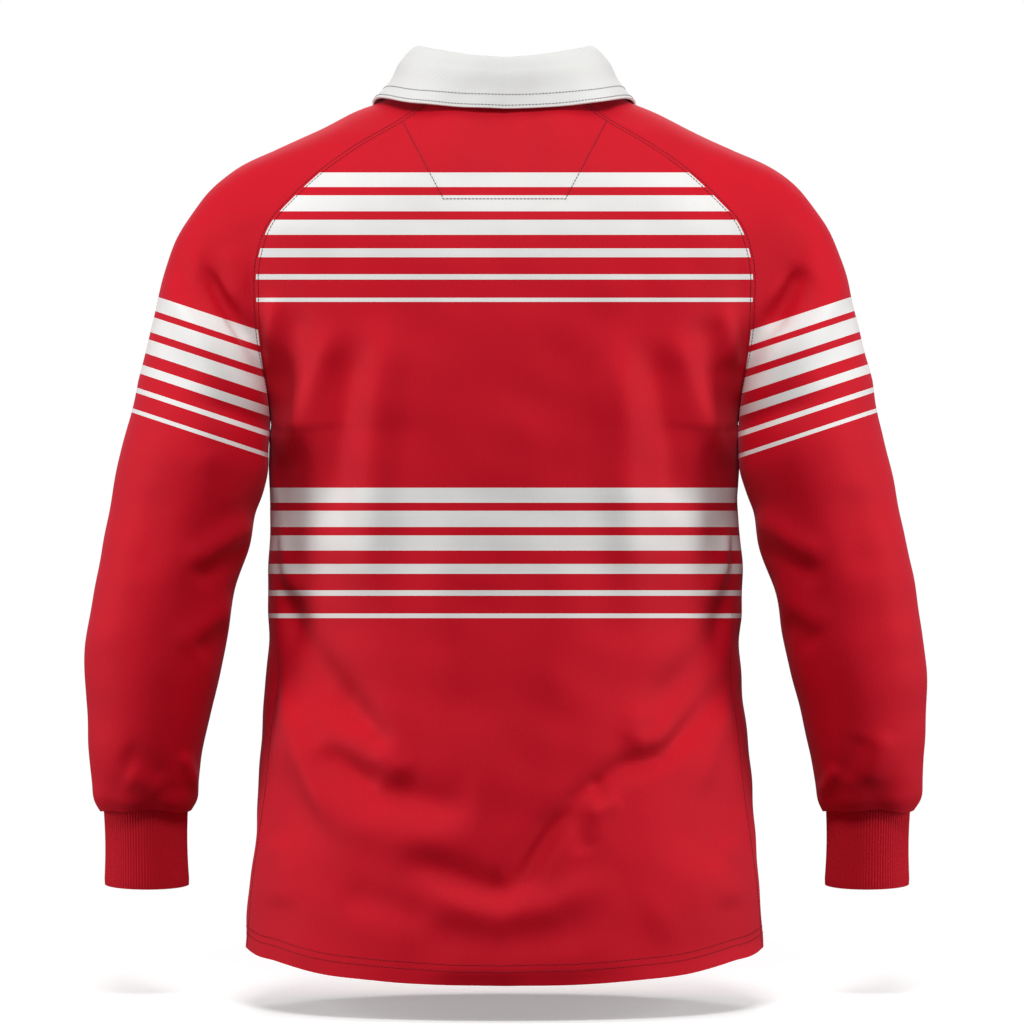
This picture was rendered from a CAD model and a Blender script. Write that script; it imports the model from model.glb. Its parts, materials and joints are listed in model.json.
# %% [markdown]
# A long-sleeved rugby shirt, seen from behind and filled out with nobody in it. The packed
# model gives every place and size, in metres: +Z is up, the front faces -Y and +X is the
# wearer's left. Each piece of cloth is built as a thin wall on the form of its solid, with
# finer folds, and then gets stripes, a knit surface and its sewing.
# %% Load the frame
import json
import math

import bpy
import numpy as np
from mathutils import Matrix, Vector
from mathutils.bvhtree import BVHTree

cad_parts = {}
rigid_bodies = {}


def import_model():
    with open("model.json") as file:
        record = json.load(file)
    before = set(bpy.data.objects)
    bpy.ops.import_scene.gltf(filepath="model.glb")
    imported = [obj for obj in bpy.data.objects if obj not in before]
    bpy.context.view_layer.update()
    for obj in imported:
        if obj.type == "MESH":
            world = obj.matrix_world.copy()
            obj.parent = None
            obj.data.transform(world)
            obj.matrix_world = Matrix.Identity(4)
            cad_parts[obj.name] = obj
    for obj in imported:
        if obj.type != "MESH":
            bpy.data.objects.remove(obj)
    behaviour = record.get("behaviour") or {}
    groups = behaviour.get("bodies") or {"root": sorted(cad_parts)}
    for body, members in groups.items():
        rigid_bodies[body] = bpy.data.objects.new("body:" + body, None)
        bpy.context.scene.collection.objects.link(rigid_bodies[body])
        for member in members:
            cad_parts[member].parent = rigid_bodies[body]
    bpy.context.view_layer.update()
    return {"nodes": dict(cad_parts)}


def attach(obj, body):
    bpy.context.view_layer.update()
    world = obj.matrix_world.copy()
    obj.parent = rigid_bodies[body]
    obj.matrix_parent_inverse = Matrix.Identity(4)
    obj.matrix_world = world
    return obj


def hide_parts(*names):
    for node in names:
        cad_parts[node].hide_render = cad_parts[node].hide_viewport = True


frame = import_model()
print("solids:", sorted(frame["nodes"]))

# %% [markdown]
# A cut garment is drawn by a maker as a few lines: the middle of the back and front, the
# side seams, the raglan seams and the outer and inner lines of the arm. Every surface below
# is stretched between those lines, so the tables hold the whole shape of the shirt. They
# are in millimetres, because a maker thinks in them, and turn into metres at the mesh.
# %% Lines of the body
MM = 0.001
WALL = 1.5
UNDERARM_Z = -266
BACK_NECK_Z = 2
FRONT_NECK_Z = -55.5
HEM_CENTRE_Z = -726.5
HEM_SIDE_Z = -694.5

BACK_DEPTH = [  # height z, depth y
    (2, 60), (-40, 85), (-100, 110), (-170, 122), (-250, 125),
    (-350, 122), (-450, 118), (-550, 120), (-726.5, 120),
]
FRONT_DEPTH = [  # height z, depth y
    (-55.5, -79), (-100, -100), (-170, -122), (-230, -128),
    (-350, -125), (-450, -120), (-550, -120), (-726.5, -122),
]
SIDE = [  # height z, seam x, seam y, widest x
    (-266, 191.5, 6, 191.5), (-300, 189.5, 8, 191.9), (-350, 187, 9, 192.1),
    (-390, 186.4, 9, 194.6), (-420, 186, 9, 195.4), (-445, 185.4, 9, 193.6),
    (-476, 185.8, 8, 194.8), (-510, 191, 7, 198.2), (-566, 196.9, 6, 202.7),
    (-603, 202, 5, 205.4), (-648, 207.6, 3, 209.5), (-694.5, 211.2, 0, 212.4),
]
HEM = [  # distance x from the middle, height z
    (0, -726.5), (60, -725.4), (111.9, -721.6), (154.6, -715.9),
    (188, -706), (208.7, -698.2), (212.8, -694.5),
]
BACK_RAGLAN = [
    (56, 38, 4), (84.5, 55, -16.4), (118.9, 66, -36.5), (148.8, 74, -57.4),
    (172.6, 77, -79.2), (192.5, 75.5, -102), (202.5, 70, -132), (203.5, 61, -166),
    (200, 47, -207), (194, 28, -243), (191.5, 6, -266),
]
FRONT_RAGLAN = [
    (62, -50, -12), (88, -64, -33), (118, -76, -54), (146, -83, -76),
    (168, -86, -100), (184, -84, -126), (191, -77, -155), (193, -66, -185),
    (192.5, -48, -217), (191.5, -22, -250), (191.5, 6, -266),
]
ROW_ENDS = [  # way down, turn of the back row in degrees, its rise, then the front row's
    (0, 52, 0.08, 62, 0.55), (0.08, 36, 0, 42, 0.2), (0.2, 25, 0, 28, 0),
    (0.5, 30, 0, 30, 0), (0.7, 38, 0, 40, 0), (0.85, 54, 0, 56, 0), (1, 90, 0, 90, 0),
]

# %% Lines of the sleeve
SHOULDER_LINE = [
    (78, 0, 8), (92, 0, 3), (105.8, 0, -3.4), (118.5, 0, -8.2), (151.7, 0, -24.6),
    (187.8, 0, -41), (221.8, 0, -57.4), (241.1, 0, -73.8), (254.2, 0, -90.2),
    (264.9, 0, -106.6), (278.5, 0, -139.4), (287, 0, -172.2), (294.4, 0, -205),
    (301.2, 0, -230),
]
ARM_OUTER = [
    (301.2, 0, -230), (305.9, -1, -254.2), (317.3, -4, -303.4), (330.1, -9, -369),
    (341.9, -17, -434.6), (345.2, -23, -467.4), (344.8, -26, -483.8),
    (342.8, -34, -533), (339.1, -40, -565.8), (333.1, -43, -581),
]
ARM_INNER = [
    (191.9, 6, -266), (192.1, 12, -283), (192.8, 14, -303), (197.6, 11, -319.8),
    (203.8, 7, -336.2), (209.5, 0, -369), (221.4, -6, -401.8), (226.7, -12, -434.6),
    (233.3, -18, -467.4), (241.5, -25, -500.2), (249.3, -32, -533),
    (255, -40, -565.8), (259.4, -43, -581),
]
ARCHES = [  # way down, reach at the back seam, top behind, front seam, top ahead, tilt
    (0, 12, 20, 16, 26, 0), (0.1, 18, 28, 22, 32, 0), (0.25, 28, 36, 32, 42, 0),
    (0.5, 45, 44, 48, 48, 0), (0.75, 58, 62, 58, 62, 0), (0.9, 80, 88, 80, 88, 0),
    (1, 98, 100, 98, 100, 0), (1.25, 94, 94, 94, 94, 0.05), (1.5, 84, 84, 84, 84, 0.1),
    (1.75, 74, 74, 74, 74, 0.16), (1.92, 58, 58, 58, 58, 0.185),
    (2, 41, 41, 41, 41, 0.185),
]

# %% [markdown]
# A smooth line through a few measured values keeps a table short. Each stretch between two
# values is a cubic that leaves and arrives with the slope of its neighbours, which bends
# like a spline but never swings far from the numbers.
# %% Smooth lines and even walks
def smooth(places, values):
    """A smooth line through values at rising or falling places."""
    places = np.asarray(places, float)
    values = np.asarray(values, float)
    if places[0] > places[-1]:
        places, values = places[::-1], values[::-1]
    steps = np.diff(places)
    slopes = np.diff(values) / steps
    tangents = np.empty_like(values)
    tangents[0], tangents[-1] = slopes[0], slopes[-1]
    tangents[1:-1] = (slopes[:-1] * steps[1:] + slopes[1:] * steps[:-1]) / (steps[:-1] + steps[1:])

    def line(place):
        place = np.asarray(place, float)
        i = np.clip(np.searchsorted(places, place) - 1, 0, len(steps) - 1)
        h = steps[i]
        t = np.clip((place - places[i]) / h, 0, 1)
        return (
            values[i] * (2 * t**3 - 3 * t**2 + 1)
            + tangents[i] * h * (t**3 - 2 * t**2 + t)
            + values[i + 1] * (3 * t**2 - 2 * t**3)
            + tangents[i + 1] * h * (t**3 - t**2)
        )

    return line


def column(table, index):
    """One column of a table, as a smooth line over its first column."""
    return smooth([row[0] for row in table], [row[index] for row in table])


def path(points):
    """A smooth line in space, called with shares of its length."""
    points = np.asarray(points, float)
    lengths = np.r_[0, np.cumsum(np.linalg.norm(np.diff(points, axis=0), axis=1))]
    axes = [smooth(lengths, points[:, axis]) for axis in range(3)]
    return lambda share: np.stack([axis(np.asarray(share) * lengths[-1]) for axis in axes], -1)


def walk_evenly(points, shares):
    """Points along a bent line, at the given shares of its length."""
    lengths = np.r_[0, np.cumsum(np.linalg.norm(np.diff(points, axis=0), axis=1))]
    goal = np.asarray(shares) * lengths[-1]
    return np.stack([np.interp(goal, lengths, points[:, axis]) for axis in range(3)], -1)


def bezier(a, b, c, d, t):
    t = np.asarray(t)[:, None]
    return a * (1 - t) ** 3 + 3 * b * t * (1 - t) ** 2 + 3 * c * t**2 * (1 - t) + d * t**3


def unit(v):
    return v / np.maximum(np.linalg.norm(v, axis=-1, keepdims=True), 1e-12)


def ease(start, end, t):
    """A soft step: 0 up to start, 1 from end on, also where end is the smaller."""
    s = np.clip((np.asarray(t, float) - start) / (end - start), 0.0, 1.0)
    return s * s * (3 - 2 * s)


def mix(a, b, t):
    return a + (b - a) * t


back_depth, front_depth = column(BACK_DEPTH, 1), column(FRONT_DEPTH, 1)
side_x, side_y, widest = (column(SIDE, i) for i in (1, 2, 3))
hem_z = column(HEM, 1)
raglan = {"back": path(BACK_RAGLAN), "front": path(FRONT_RAGLAN)}
row_end = {
    "back": (column(ROW_ENDS, 1), column(ROW_ENDS, 2)),
    "front": (column(ROW_ENDS, 3), column(ROW_ENDS, 4)),
}
shoulder_line, arm_outer, arm_inner = path(SHOULDER_LINE), path(ARM_OUTER), path(ARM_INNER)
arch = [column(ARCHES, i) for i in range(1, 6)]
STEPS = np.linspace(0, 1, 81)
print("width at the hem in mm:", round(2 * float(widest(HEM_SIDE_Z)), 1))

# %% [markdown]
# A body panel is a stack of rows. Each row is one curve from the middle of the back (or the
# front) to the seam, and it arrives there in the direction of the cloth on the other side,
# so that no crease shows where two panels meet. A sleeve is a stack of arches from the back
# seam over the arm to the front seam, which close into a tube below the underarm.
# %% Rows of the body
def row_direction(face, way):
    turn = math.radians(float(row_end[face][0](way)))
    forward = -math.sin(turn) if face == "back" else math.sin(turn)
    return unit(np.array([math.cos(turn), forward, float(row_end[face][1](way))]))


def raglan_normal(face, way):
    along = raglan[face](min(1, way + 0.01)) - raglan[face](max(0, way - 0.01))
    out = unit(np.cross(along, row_direction(face, way)))
    wrong = out[1] < 0 if face == "back" else out[1] > 0
    return -out if wrong else out


def side_lean(level):
    end = np.array([float(side_x(level)), float(side_y(level)), 0.0])
    middle = np.array([0.0, float(front_depth(level)), 0.0])
    reach = np.linalg.norm(end - middle)
    low, high = 0.0, math.pi / 3
    for _ in range(16):
        lean = (low + high) / 2
        pull = np.array([math.sin(lean), -math.cos(lean), 0]) * 0.34 * reach
        across = bezier(middle, middle + [0.46 * reach, 0, 0], end + pull, end, STEPS)
        if across[:, 0].max() < float(widest(level)):
            low = lean
        else:
            high = lean
    return (low + high) / 2


def body_row(face, way, shares):
    sign = 1 if face == "back" else -1
    depth = back_depth if face == "back" else front_depth
    if way <= 1:
        end = raglan[face](way)
        if face == "back":
            level = mix(mix(BACK_NECK_Z, UNDERARM_Z, way), end[2], 0.6 * float(ease(0, 0.1, way)))
        else:
            level = mix(FRONT_NECK_Z, UNDERARM_Z, way**1.15)
        middle = np.array([0.0, float(depth(level)), level])
        reach = np.linalg.norm(end - middle)
        pull = row_direction(face, way) * 0.34 * reach
        line = bezier(middle, middle + [0.46 * reach, 0, 0], end - pull, end, STEPS)
        return walk_evenly(line, shares)
    down = way - 1
    side_level = mix(UNDERARM_Z, HEM_SIDE_Z, down)
    middle_level = mix(UNDERARM_Z, HEM_CENTRE_Z, down)
    end = np.array([float(side_x(side_level)), float(side_y(side_level)), 0.0])
    middle = np.array([0.0, float(depth(middle_level)), 0.0])
    reach = np.linalg.norm(end - middle)
    lean = side_lean(side_level)
    pull = np.array([math.sin(lean), -math.cos(lean), 0]) * sign * 0.34 * reach
    line = bezier(middle, middle + [0.46 * reach, 0, 0], end - pull, end, STEPS)
    across = np.minimum(212.8, np.abs(line[:, 0]) * 212.8 / float(widest(side_level)))
    line[:, 2] = mix(UNDERARM_Z, hem_z(across), down)
    return walk_evenly(line, shares)


# %% Sections of the sleeve
def sleeve_section(way, shares):
    seam_back, top_back, seam_front, top_front, tilt = (float(line(way)) for line in arch)
    top = shoulder_line(way) if way <= 1 else arm_outer(way - 1)
    halves = []
    for face, sign, reach, top_reach in (
        ("back", 1, seam_back, top_back),
        ("front", -1, seam_front, top_front),
    ):
        if way <= 1:
            start = raglan[face](way) + [0.4 * way**8, 0, 0]
            out = raglan_normal(face, way)
            chord = top - start
            direction = unit(chord - out * chord.dot(out))
            blend = float(ease(0.6, 1, way))
            direction = unit(mix(direction, np.array([0.0, sign, 0.0]), blend))
        else:
            start = arm_inner(way - 1)
            direction = np.array([0.0, sign, 0.0])
        arm = bezier(start, start + direction * reach, top + [0, sign * top_reach, 0], top, STEPS)
        halves.append(arm)
    line = np.vstack([halves[0], halves[1][::-1][1:]])
    inner = halves[0][0]
    along = (line[:, 0] - inner[0]) / (top[0] - inner[0])
    line[:, 2] -= tilt * (line[:, 1] - mix(inner[1], top[1], along))
    return walk_evenly(line, shares)


# %% [markdown]
# Folds are what makes cloth look like cloth. Each one is a soft stroke laid over the
# surface: a line on the shirt, how far the cloth rises or sinks along it, and how wide it
# is. Drawing them by hand from the picture keeps the long drag lines between the arms and
# the waist and the slack that gathers above the hem, which a simulation would place
# elsewhere. The hidden front gets strokes of the same kind.
# %% Folds of the back
BACK_FOLDS = [  # height, half-width, then x, z along the stroke
    (-8.5, 15, 190, -380, 181, -402, 168, -430, 151, -455, 131, -484, 110, -508, 98, -524),
    (4.5, 9, 192, -340, 180, -378, 166, -404),
    (4.0, 16, 186, -470, 172, -515, 156, -550, 128, -580, 90, -594, 41, -596, 14, -602),
    (4.5, 9, 196, -440, 186, -470, 172, -505, 157, -545, 138, -600),
    (-8.5, 14, 154, -518, 127, -541, 106, -556, 78, -560, 53, -566, 20, -574),
    (-2.5, 16, 96, -540, 60, -547, 20, -550),
    (3.5, 10, 128, -498, 112, -520, 90, -540, 72, -542),
    (-7.0, 12, 84, -606, 45, -624, 12, -635, 0, -636, -16, -622, -34, -596,
     -52, -574),
    (-8.5, 10, -10, -630, -37, -590, -58, -568, -80, -552, -100, -538, -131, -529,
     -152, -508, -184, -460),
    (6.4, 15, 86, -628, 45, -649, 4, -659, -40, -649, -94, -620),
    (4.2, 22, 76, -684, 0, -694, -96, -684),
    (2.6, 28, -110, -650, -144, -630, -178, -596),
    (-4.0, 12, 142, -468, 121, -497, 96, -528),
    (-3.5, 10, 152, -522, 126, -542, 104, -555),
    (-2.8, 14, 140, -640, 100, -648, 56, -660),
    (-5.5, 14, -196, -392, -184, -414, -164, -443, -140, -469, -120, -496),
    (4.5, 9, -190, -340, -180, -372, -164, -410),
    (3.5, 9, -113, -486, -105, -510, -115, -521, -130, -515, -142, -498),
    (2.2, 8, -196, -450, -184, -490, -170, -530, -152, -572),
    (-2.2, 6, -76, -548, -86, -574),
    (-2.6, 9, -58, -572, -68, -612),
    (2.6, 9, -66, -578, -96, -564),
    (8.0, 18, 92, -150, 102, -220, 108, -280, 112, -350, 108, -410),
    (-6.5, 14, 116, -178, 130, -230, 140, -290, 146, -340),
    (5.5, 11, 138, -170, 152, -214, 168, -256, 184, -292),
    (-3.0, 10, 166, -160, 178, -200, 188, -236),
    (4.0, 8, 186, -150, 193, -190, 197, -224),
    (8.0, 18, -84, -160, -96, -244, -100, -312, -104, -370, -112, -410),
    (-6.5, 14, -114, -180, -130, -239, -142, -300, -148, -340),
    (5.5, 11, -136, -176, -152, -220, -168, -260, -182, -294),
    (4.0, 8, -178, -160, -190, -216),
    (-3.0, 10, -160, -168, -178, -226),
    (3.0, 12, 186, -590, 180, -620, 184, -655),
    (3.0, 12, -186, -590, -180, -620, -186, -655),
    (2.0, 20, 40, -300, 48, -400, 36, -480),
    (-2.0, 22, 4, -330, 8, -420, 2, -500),
    (2.0, 20, -46, -320, -50, -410, -44, -490),
]

# %% Folds of the front and the sleeves
FRONT_FOLDS = [
    (5.0, 14, 186, -450, 150, -520, 100, -570, 40, -590),
    (-6.0, 12, 184, -400, 150, -460, 110, -520, 50, -560),
    (-6.0, 12, -190, -410, -150, -480, -110, -540, -40, -596),
    (5.0, 14, -184, -470, -140, -550, -80, -610, -10, -640),
    (-5.0, 11, -20, -610, 20, -640, 80, -620, 120, -590),
    (4.0, 14, 82, -190, 100, -300, 122, -400),
    (4.0, 14, -84, -180, -100, -290, -118, -410),
    (-3.5, 12, 108, -200, 130, -280, 146, -310),
    (-3.5, 12, -110, -196, -132, -270, -150, -306),
    (3.5, 10, 140, -196, 166, -260, 184, -290),
    (3.5, 10, -138, -200, -164, -262, -184, -292),
    (-3.0, 16, 110, -650, 40, -684, -50, -680, -110, -650),
    (-2.0, 22, 6, -300, 4, -400, 10, -500),
]
SLEEVE_FOLDS = [  # side, part (1 behind, -1 ahead), height, half-width, then x, z
    (1, 1, 5.0, 7, 254, -110, 253, -136, 247, -152, 239, -168, 229, -184, 219, -198, 204, -220),
    (1, 1, -4.6, 8, 243, -126, 236, -148, 227, -166, 217, -182, 206, -197),
    (1, 1, 2.5, 10, 226, -110, 216, -157),
    (1, 1, -2.0, 12, 278, -146, 270, -190, 258, -230),
    (1, 1, 3.6, 10, 200, -334, 230, -354, 264, -374),
    (1, 1, -4.0, 10, 202, -354, 230, -372, 256, -389),
    (1, 1, 3.0, 11, 214, -400, 244, -422, 274, -442),
    (1, 1, -2.8, 11, 222, -422, 254, -446),
    (1, 1, -2.8, 12, 318, -524, 299, -533, 276, -550),
    (1, 1, 2.2, 11, 314, -544, 282, -562),
    (1, 1, 3.0, 5, 266, -530, 259, -548, 255, -562),
    (1, 1, 2.0, 14, 312, -330, 318, -390, 326, -450),
    (1, 1, -2.0, 16, 286, -300, 290, -350, 300, -384),
    (1, 1, 2.0, 14, 246, -270, 236, -310, 226, -330),
    (1, -1, 4.0, 12, 296, -402, 262, -390, 226, -368),
    (1, -1, -4.0, 11, 300, -436, 266, -424, 236, -404),
    (1, -1, -3.0, 10, 310, -536, 280, -550),
    (1, -1, 4.0, 14, 250, -140, 232, -186, 212, -220),
    (-1, 1, 5.0, 10, 256, -108, 252, -140, 238, -167, 224, -190, 204, -218),
    (-1, 1, -6.0, 10, 244, -126, 233, -152, 217, -184),
    (-1, 1, -2.0, 12, 278, -146, 272, -186, 262, -226),
    (-1, 1, 3.6, 10, 202, -328, 230, -348, 262, -368),
    (-1, 1, -4.0, 10, 206, -352, 232, -370, 262, -388),
    (-1, 1, 3.0, 11, 212, -386, 236, -404, 268, -424),
    (-1, 1, -2.6, 11, 226, -416, 256, -440),
    (-1, 1, 3.2, 5, 272, -540, 264, -556, 259, -566),
    (-1, 1, -2.6, 10, 292, -512, 284, -530, 274, -550),
    (-1, 1, 2.2, 10, 312, -508, 304, -534, 296, -556),
    (-1, 1, 2.0, 14, 312, -330, 318, -390, 326, -450),
    (-1, 1, -2.0, 16, 284, -300, 290, -346, 298, -380),
    (-1, -1, 4.0, 12, 290, -398, 260, -386, 224, -364),
    (-1, -1, -4.0, 11, 298, -440, 262, -424, 234, -402),
    (-1, -1, 4.0, 14, 250, -144, 230, -186, 212, -216),
]


# The tables hold the place where a fold looks bright or dark in the picture. That is its
# upper side, which faces the light or turns from it, so the fold's own line lies lower by
# this share of its half-width.
FLANK = 0.85
SLACK_WAVES = ((150, 0.9), (80, 0.6), (42, 0.3))  # length and height in mm
WAVES_PER_SIZE = 4
SLACK_SEEDS = {"back": 11, "front": 23}
SLEEVE_SLACK_SEED = 31


def stroke_lift(x, z, height, half_width, flat_line):
    """How far one fold lifts the cloth at each x and z. Its two ends fade out."""
    z = z + FLANK * half_width
    corners = np.asarray(flat_line, float).reshape(-1, 2)
    starts, ends = corners[:-1], corners[1:]
    lengths = np.linalg.norm(ends - starts, axis=1)
    before = np.r_[0, np.cumsum(lengths)]
    nearest = np.full(x.shape, 1e9)
    place = np.zeros(x.shape)
    for (ax, az), (bx, bz), length, walked in zip(starts, ends, lengths, before):
        t = np.clip(((x - ax) * (bx - ax) + (z - az) * (bz - az)) / length**2, 0, 1)
        gap = np.hypot(x - mix(ax, bx, t), z - mix(az, bz, t))
        closer = gap < nearest
        nearest = np.where(closer, gap, nearest)
        place = np.where(closer, (walked + t * length) / before[-1], place)
    ends_soft = ease(-0.02, 0.25, place) * ease(-0.02, 0.25, 1 - place)
    return height * ends_soft * np.exp(-((nearest / half_width) ** 2))


def slack(x, z, seed):
    """The faint unevenness of cloth that hangs free, as long slow waves."""
    rng = np.random.default_rng(seed)
    lift = np.zeros(x.shape)
    for size, height in SLACK_WAVES:
        for _ in range(WAVES_PER_SIZE):
            turn, start = rng.uniform(0, math.pi), rng.uniform(0, 2 * math.pi)
            along = x * math.cos(turn) + z * math.sin(turn)
            lift += height * 0.5 * np.sin(2 * math.pi * along / size + start)
    return lift


print("strokes drawn:", len(BACK_FOLDS) + len(FRONT_FOLDS) + len(SLEEVE_FOLDS))

# %% [markdown]
# Every piece of cloth becomes a real wall: an outer skin, an inner skin a millimetre and a
# half behind it, and a rim round each free edge. One helper makes that wall from a grid of
# outer points, and also lays the grid out flat in metres for the knit pattern to follow.
# %% Cloth walls from grids
CREASE_ANGLE = math.radians(55)
SEAM_PULL = 0.02


def grid_normals(grid, outward, tube_from=None):
    """The direction out of the cloth at each point of a grid, also round a tube."""
    across = np.empty_like(grid)
    across[:, 1:-1] = grid[:, 2:] - grid[:, :-2]
    across[:, 0] = grid[:, 1] - grid[:, 0]
    across[:, -1] = grid[:, -1] - grid[:, -2]
    if tube_from is not None:
        wrap = grid[tube_from:, 1] - grid[tube_from:, -2]
        across[tube_from:, 0] = wrap
        across[tube_from:, -1] = wrap
    along = np.empty_like(grid)
    along[1:-1] = grid[2:] - grid[:-2]
    along[0] = grid[1] - grid[0]
    along[-1] = grid[-1] - grid[-2]
    return unit(np.cross(across, along)) * outward


def cloth_wall(name, grid, outward, wall, tube_from=None, open_squares=(), known=None, pull=0,
               inside=None):
    """Build a closed wall on a grid of outer points in mm.

    From the row tube_from on the grid closes into a tube. Squares in open_squares are left
    out. Directions in known win over the grid's own, pull draws the side edges in, and
    inside gives the inner skin where it is not just the outer one moved in.
    """
    rows, columns = grid.shape[:2]
    normals = grid_normals(grid, outward, tube_from)
    if known is not None:
        has = ~np.isnan(known[..., 0])
        normals[has] = known[has]
    outer = grid.copy()
    if pull:
        last = rows if tube_from is None else tube_from
        outer[:last, 0] += unit(grid[:last, 1] - grid[:last, 0]) * pull
        outer[:last, -1] += unit(grid[:last, -2] - grid[:last, -1]) * pull
    inner = outer - normals * wall if inside is None else inside
    number = np.arange(rows * columns).reshape(rows, columns)
    if tube_from is not None:
        number[tube_from:, -1] = number[tube_from:, 0]
    across = np.linalg.norm(np.diff(grid, axis=1), axis=2).cumsum(1)
    across = np.concatenate([np.zeros((rows, 1)), across], 1)
    across -= across[:, -1:] / 2
    down = np.linalg.norm(np.diff(grid, axis=0), axis=2).cumsum(0)
    down = np.concatenate([np.zeros((1, columns)), down], 0)
    flat = np.stack([across, -down], -1).reshape(-1, 2) * MM
    i, k = np.meshgrid(np.arange(rows - 1), np.arange(columns - 1), indexing="ij")
    keep = np.ones(i.shape, bool)
    for square in open_squares:
        keep[square] = False
    i, k = i[keep], k[keep]
    place = np.stack([i * columns + k, (i + 1) * columns + k,
                      (i + 1) * columns + k + 1, i * columns + k + 1], 1)
    if outward > 0:
        place = place[:, ::-1]
    quads = number.reshape(-1)[place]
    edges = {}
    for quad, spot in zip(quads.tolist(), place.tolist()):
        for n in range(4):
            a, b = quad[n], quad[(n + 1) % 4]
            if a == b:
                continue
            if (b, a) in edges:
                del edges[(b, a)]
            else:
                edges[(a, b)] = (spot[n], spot[(n + 1) % 4])
    count = rows * columns
    rims = np.array([(b, a, a + count, b + count) for a, b in edges])
    rim_spots = np.array([(b, a, a, b) for a, b in edges.values()])
    faces = np.vstack([quads, quads[:, ::-1] + count, rims])
    spots = np.vstack([place, place[:, ::-1], rim_spots])
    points = np.vstack([outer.reshape(-1, 3), inner.reshape(-1, 3)]) * MM
    used, faces = np.unique(faces, return_inverse=True)
    faces = faces.reshape(-1, 4)
    mesh = bpy.data.meshes.new(name)
    mesh.vertices.add(len(used))
    mesh.vertices.foreach_set("co", points[used].astype(np.float32).ravel())
    mesh.loops.add(faces.size)
    mesh.loops.foreach_set("vertex_index", faces.astype(np.int32).ravel())
    mesh.polygons.add(len(faces))
    mesh.polygons.foreach_set("loop_start", np.arange(0, faces.size, 4, dtype=np.int32))
    layer = mesh.uv_layers.new(name="flat_cloth")
    layer.data.foreach_set("uv", flat[spots.ravel()].astype(np.float32).ravel())
    mesh.update(calc_edges=True)
    mesh.validate()
    mesh.shade_smooth()
    mesh.set_sharp_from_angle(angle=CREASE_ANGLE)
    made = bpy.data.objects.new(name, mesh)
    bpy.context.scene.collection.objects.link(made)
    print(name, "triangles:", 2 * len(faces), "skin squares:", len(quads))
    return made


# %% [markdown]
# The back and front panels are cut as one sheet each. The back meets the collar at the top,
# the sleeves along the raglan seams and the front at the sides. The rows above the underarm
# share their places with the sleeve rows, so the seams close.
# %% Back and front panels
FINE_RAGLAN = 72
FINE_BODY = 128
FINE_HALF = 66
raglan_ways = np.linspace(0, 1, FINE_RAGLAN + 1)
body_ways = np.r_[raglan_ways, 1 + np.linspace(0, 1, FINE_BODY + 1)[1:]]
PLACKET_HALF_WIDTH = 17
SLIT_HALF_WIDTH = 1.5
SLIT_END_Z = -205
SLOT_BEND = 1.8
SLOT_MIDDLE_Y = 12
SLOT_WAVE = 55


def edge_fade(rows, columns, reach_rows, reach_columns):
    """Folds fade out towards the seams and the last rows, so that the edges stay put."""
    k = np.minimum(np.arange(columns), np.arange(columns)[::-1]) / reach_columns
    i = np.arange(rows)[::-1] / reach_rows
    return np.minimum(1, i)[:, None] * ease(0, 1, k)[None, :]


def slot_bend(grid):
    """Curve the narrow gap between sleeve and side, so that little light shines through it."""
    x, y, z = (grid[..., n] for n in range(3))
    level = ease(-340, -312, z) * ease(266, 276, -z)
    near = ease(14, 4, np.abs(np.abs(x) - 192))
    grid = grid.copy()
    swing = np.cos(math.pi * (y - SLOT_MIDDLE_Y) / SLOT_WAVE)
    grid[..., 0] += np.sign(x) * SLOT_BEND * swing * level * near
    return grid


def panel_grid(face):
    """The back or front panel as rows of points, with its folds."""
    rows = []
    for way in body_ways:
        if face == "front":
            total = np.linalg.norm(np.diff(body_row(face, way, STEPS), axis=0), axis=1).sum()
            strip = np.linspace(SLIT_HALF_WIDTH, PLACKET_HALF_WIDTH, 6) / total
            shares = np.r_[strip, np.linspace(strip[-1], 1, FINE_HALF - 4)[1:]]
            half = body_row(face, way, shares)
            other = half[::-1] * [-1, 1, 1]
            rows.append(np.vstack([other, half]))
        else:
            half = body_row(face, way, np.linspace(0, 1, FINE_HALF + 1))
            rows.append(np.vstack([half[::-1][:-1] * [-1, 1, 1], half]))
    grid = np.array(rows)
    outward = 1 if face == "back" else -1
    normals = grid_normals(grid, outward)
    x, z = grid[..., 0], grid[..., 2]
    lift = slack(x, z, SLACK_SEEDS[face])
    for height, half_width, *line in BACK_FOLDS if face == "back" else FRONT_FOLDS:
        lift += stroke_lift(x, z, height, half_width, line)
    fade = edge_fade(*grid.shape[:2], 3, 5)
    fade *= ease(0, 8, np.arange(len(grid)))[:, None]
    return slot_bend(grid + normals * (lift * fade)[..., None])


def panel_edge_normals(face, grid):
    """At its side edges a panel faces as its neighbour does, so the walls meet flush."""
    known = np.full(grid.shape, np.nan)
    for i, way in enumerate(body_ways):
        if way < 1:
            normal = raglan_normal(face, way)
        else:
            lean = side_lean(mix(UNDERARM_Z, HEM_SIDE_Z, way - 1))
            normal = np.array([math.cos(lean), math.sin(lean), 0])
        known[i, -1] = normal
        known[i, 0] = normal * [-1, 1, 1]
    return known


pieces = {}
grids = {}
print("rows and columns of the back:", len(body_ways), 2 * FINE_HALF + 1)

for face in ("back", "front"):
    grid = panel_grid(face)
    grids[face] = grid
    outward = 1 if face == "back" else -1
    opened = []
    if face == "front":
        middle = grid.shape[1] // 2 - 1
        opened = [(i, middle) for i in range(len(grid)) if grid[i, middle, 2] > SLIT_END_Z]
    pieces[face] = cloth_wall(
        f"{face}_panel", grid, outward, WALL,
        open_squares=opened, known=panel_edge_normals(face, grid), pull=SEAM_PULL,
    )

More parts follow.
